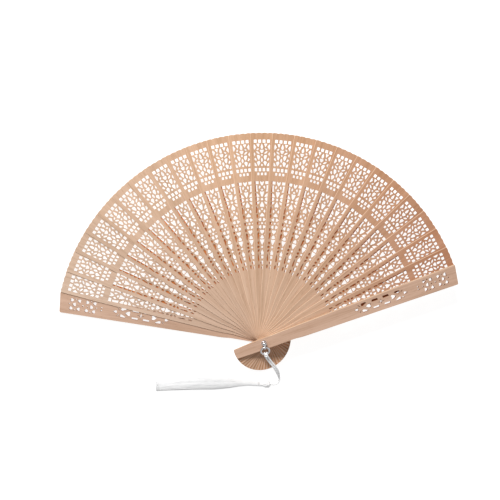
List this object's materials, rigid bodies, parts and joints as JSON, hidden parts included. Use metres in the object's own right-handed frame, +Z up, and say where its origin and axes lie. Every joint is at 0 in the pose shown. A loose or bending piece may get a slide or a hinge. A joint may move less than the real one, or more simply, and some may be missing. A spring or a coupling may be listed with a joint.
{
  "type": "folding hand fan",
  "caption": "Folding hand fan of pierced wooden sticks between carved guards on a rivet, shown open, with a ring, cord and silk tassel at the pivot.",
  "frame": {"origin": "on the pivot axis, at the underside of the back guard", "axes": "+Z up through the stack along the rivet, +Y the way the fan opens, +X towards the front guard's side, along the fan's width"},
  "size_m": [0.3361, 0.2227, 0.0284],
  "materials": {
    "stick_wood": "sanded thin sandalwood, pierced",
    "guard_wood": "sanded sandalwood",
    "polished_metal": "polished nickel",
    "cord": "white twisted silk cord",
    "tassel_silk": "white silk thread",
    "ribbon": "thin satin ribbon"
  },
  "bodies": {
    "front_guard": {"front_guard": "guard_wood", "rivet": "polished_metal", "rear_cap": "polished_metal", "front_washer": "polished_metal"},
    "back_guard": {"back_guard": "guard_wood"},
    "hanger": {"swivel_eye": "polished_metal", "ring": "polished_metal", "cord_hitch": "cord", "cord_strand_a": "cord", "cord_strand_b": "cord", "tassel_head": "tassel_silk", "tassel_skirt": "tassel_silk"},
    "stick_01": {"stick_01": "stick_wood", "ribbon_01": "ribbon"},
    "stick_02": {"stick_02": "stick_wood", "ribbon_02": "ribbon"},
    "stick_03": {"stick_03": "stick_wood", "ribbon_03": "ribbon"},
    "stick_04": {"stick_04": "stick_wood", "ribbon_04": "ribbon"},
    "stick_05": {"stick_05": "stick_wood", "ribbon_05": "ribbon"},
    "stick_06": {"stick_06": "stick_wood", "ribbon_06": "ribbon"},
    "stick_07": {"stick_07": "stick_wood", "ribbon_07": "ribbon"},
    "stick_08": {"stick_08": "stick_wood", "ribbon_08": "ribbon"},
    "stick_09": {"stick_09": "stick_wood", "ribbon_09": "ribbon"},
    "stick_10": {"stick_10": "stick_wood", "ribbon_10": "ribbon"},
    "stick_11": {"stick_11": "stick_wood", "ribbon_11": "ribbon"},
    "stick_12": {"stick_12": "stick_wood", "ribbon_12": "ribbon"},
    "stick_13": {"stick_13": "stick_wood", "ribbon_13": "ribbon"},
    "stick_14": {"stick_14": "stick_wood", "ribbon_14": "ribbon"},
    "stick_15": {"stick_15": "stick_wood", "ribbon_15": "ribbon"},
    "stick_16": {"stick_16": "stick_wood", "ribbon_16": "ribbon"},
    "stick_17": {"stick_17": "stick_wood", "ribbon_17": "ribbon"},
    "stick_18": {"stick_18": "stick_wood", "ribbon_18": "ribbon"},
    "stick_19": {"stick_19": "stick_wood", "ribbon_19": "ribbon"},
    "stick_20": {"stick_20": "stick_wood", "ribbon_20": "ribbon"},
    "stick_21": {"stick_21": "stick_wood", "ribbon_21": "ribbon"},
    "stick_22": {"stick_22": "stick_wood", "ribbon_22": "ribbon"},
    "stick_23": {"stick_23": "stick_wood", "ribbon_23": "ribbon"},
    "stick_24": {"stick_24": "stick_wood", "ribbon_24": "ribbon"}
  },
  "joints": [
    {"name": "fan_fold", "type": "hinge", "parent": "front_guard", "child": "back_guard", "pos_m": [0, 0, 0.001], "axis": [0, 0, 1], "range_deg": [-150, 0]},
    {"name": "ring_swivel", "type": "hinge", "parent": "front_guard", "child": "hanger", "pos_m": [0, 0, 0.0245], "axis": [0, 0, 1], "range_deg": [-4, 20]},
    {"name": "stick_01_fold", "type": "hinge", "parent": "front_guard", "child": "stick_01", "pos_m": [0, 0, 0.00235], "axis": [0, 0, 1], "range_deg": [-143.96, 0]},
    {"name": "stick_02_fold", "type": "hinge", "parent": "front_guard", "child": "stick_02", "pos_m": [0, 0, 0.00315], "axis": [0, 0, 1], "range_deg": [-137.93, 0]},
    {"name": "stick_03_fold", "type": "hinge", "parent": "front_guard", "child": "stick_03", "pos_m": [0, 0, 0.00395], "axis": [0, 0, 1], "range_deg": [-131.88, 0]},
    {"name": "stick_04_fold", "type": "hinge", "parent": "front_guard", "child": "stick_04", "pos_m": [0, 0, 0.00475], "axis": [0, 0, 1], "range_deg": [-125.83, 0]},
    {"name": "stick_05_fold", "type": "hinge", "parent": "front_guard", "child": "stick_05", "pos_m": [0, 0, 0.00555], "axis": [0, 0, 1], "range_deg": [-119.81, 0]},
    {"name": "stick_06_fold", "type": "hinge", "parent": "front_guard", "child": "stick_06", "pos_m": [0, 0, 0.00635], "axis": [0, 0, 1], "range_deg": [-113.76, 0]},
    {"name": "stick_07_fold", "type": "hinge", "parent": "front_guard", "child": "stick_07", "pos_m": [0, 0, 0.00715], "axis": [0, 0, 1], "range_deg": [-107.72, 0]},
    {"name": "stick_08_fold", "type": "hinge", "parent": "front_guard", "child": "stick_08", "pos_m": [0, 0, 0.00795], "axis": [0, 0, 1], "range_deg": [-101.69, 0]},
    {"name": "stick_09_fold", "type": "hinge", "parent": "front_guard", "child": "stick_09", "pos_m": [0, 0, 0.00875], "axis": [0, 0, 1], "range_deg": [-95.64, 0]},
    {"name": "stick_10_fold", "type": "hinge", "parent": "front_guard", "child": "stick_10", "pos_m": [0, 0, 0.00955], "axis": [0, 0, 1], "range_deg": [-89.59, 0]},
    {"name": "stick_11_fold", "type": "hinge", "parent": "front_guard", "child": "stick_11", "pos_m": [0, 0, 0.01035], "axis": [0, 0, 1], "range_deg": [-83.56, 0]},
    {"name": "stick_12_fold", "type": "hinge", "parent": "front_guard", "child": "stick_12", "pos_m": [0, 0, 0.01115], "axis": [0, 0, 1], "range_deg": [-77.52, 0]},
    {"name": "stick_13_fold", "type": "hinge", "parent": "front_guard", "child": "stick_13", "pos_m": [0, 0, 0.01195], "axis": [0, 0, 1], "range_deg": [-71.47, 0]},
    {"name": "stick_14_fold", "type": "hinge", "parent": "front_guard", "child": "stick_14", "pos_m": [0, 0, 0.01275], "axis": [0, 0, 1], "range_deg": [-65.44, 0]},
    {"name": "stick_15_fold", "type": "hinge", "parent": "front_guard", "child": "stick_15", "pos_m": [0, 0, 0.01355], "axis": [0, 0, 1], "range_deg": [-59.4, 0]},
    {"name": "stick_16_fold", "type": "hinge", "parent": "front_guard", "child": "stick_16", "pos_m": [0, 0, 0.01435], "axis": [0, 0, 1], "range_deg": [-53.35, 0]},
    {"name": "stick_17_fold", "type": "hinge", "parent": "front_guard", "child": "stick_17", "pos_m": [0, 0, 0.01515], "axis": [0, 0, 1], "range_deg": [-47.33, 0]},
    {"name": "stick_18_fold", "type": "hinge", "parent": "front_guard", "child": "stick_18", "pos_m": [0, 0, 0.01595], "axis": [0, 0, 1], "range_deg": [-41.28, 0]},
    {"name": "stick_19_fold", "type": "hinge", "parent": "front_guard", "child": "stick_19", "pos_m": [0, 0, 0.01675], "axis": [0, 0, 1], "range_deg": [-35.23, 0]},
    {"name": "stick_20_fold", "type": "hinge", "parent": "front_guard", "child": "stick_20", "pos_m": [0, 0, 0.01755], "axis": [0, 0, 1], "range_deg": [-29.2, 0]},
    {"name": "stick_21_fold", "type": "hinge", "parent": "front_guard", "child": "stick_21", "pos_m": [0, 0, 0.01835], "axis": [0, 0, 1], "range_deg": [-23.16, 0]},
    {"name": "stick_22_fold", "type": "hinge", "parent": "front_guard", "child": "stick_22", "pos_m": [0, 0, 0.01915], "axis": [0, 0, 1], "range_deg": [-17.11, 0]},
    {"name": "stick_23_fold", "type": "hinge", "parent": "front_guard", "child": "stick_23", "pos_m": [0, 0, 0.01995], "axis": [0, 0, 1], "range_deg": [-11.09, 0]},
    {"name": "stick_24_fold", "type": "hinge", "parent": "front_guard", "child": "stick_24", "pos_m": [0, 0, 0.02075], "axis": [0, 0, 1], "range_deg": [-5.04, 0]}
  ],
  "couplings": [
    {"joint": "stick_01_fold", "follows": "fan_fold", "ratio": 0.9597},
    {"joint": "stick_02_fold", "follows": "fan_fold", "ratio": 0.9195},
    {"joint": "stick_03_fold", "follows": "fan_fold", "ratio": 0.8792},
    {"joint": "stick_04_fold", "follows": "fan_fold", "ratio": 0.8389},
    {"joint": "stick_05_fold", "follows": "fan_fold", "ratio": 0.7987},
    {"joint": "stick_06_fold", "follows": "fan_fold", "ratio": 0.7584},
    {"joint": "stick_07_fold", "follows": "fan_fold", "ratio": 0.7181},
    {"joint": "stick_08_fold", "follows": "fan_fold", "ratio": 0.6779},
    {"joint": "stick_09_fold", "follows": "fan_fold", "ratio": 0.6376},
    {"joint": "stick_10_fold", "follows": "fan_fold", "ratio": 0.5973},
    {"joint": "stick_11_fold", "follows": "fan_fold", "ratio": 0.5571},
    {"joint": "stick_12_fold", "follows": "fan_fold", "ratio": 0.5168},
    {"joint": "stick_13_fold", "follows": "fan_fold", "ratio": 0.4765},
    {"joint": "stick_14_fold", "follows": "fan_fold", "ratio": 0.4363},
    {"joint": "stick_15_fold", "follows": "fan_fold", "ratio": 0.396},
    {"joint": "stick_16_fold", "follows": "fan_fold", "ratio": 0.3557},
    {"joint": "stick_17_fold", "follows": "fan_fold", "ratio": 0.3155},
    {"joint": "stick_18_fold", "follows": "fan_fold", "ratio": 0.2752},
    {"joint": "stick_19_fold", "follows": "fan_fold", "ratio": 0.2349},
    {"joint": "stick_20_fold", "follows": "fan_fold", "ratio": 0.1947},
    {"joint": "stick_21_fold", "follows": "fan_fold", "ratio": 0.1544},
    {"joint": "stick_22_fold", "follows": "fan_fold", "ratio": 0.1141},
    {"joint": "stick_23_fold", "follows": "fan_fold", "ratio": 0.0739},
    {"joint": "stick_24_fold", "follows": "fan_fold", "ratio": 0.0336}
  ]
}
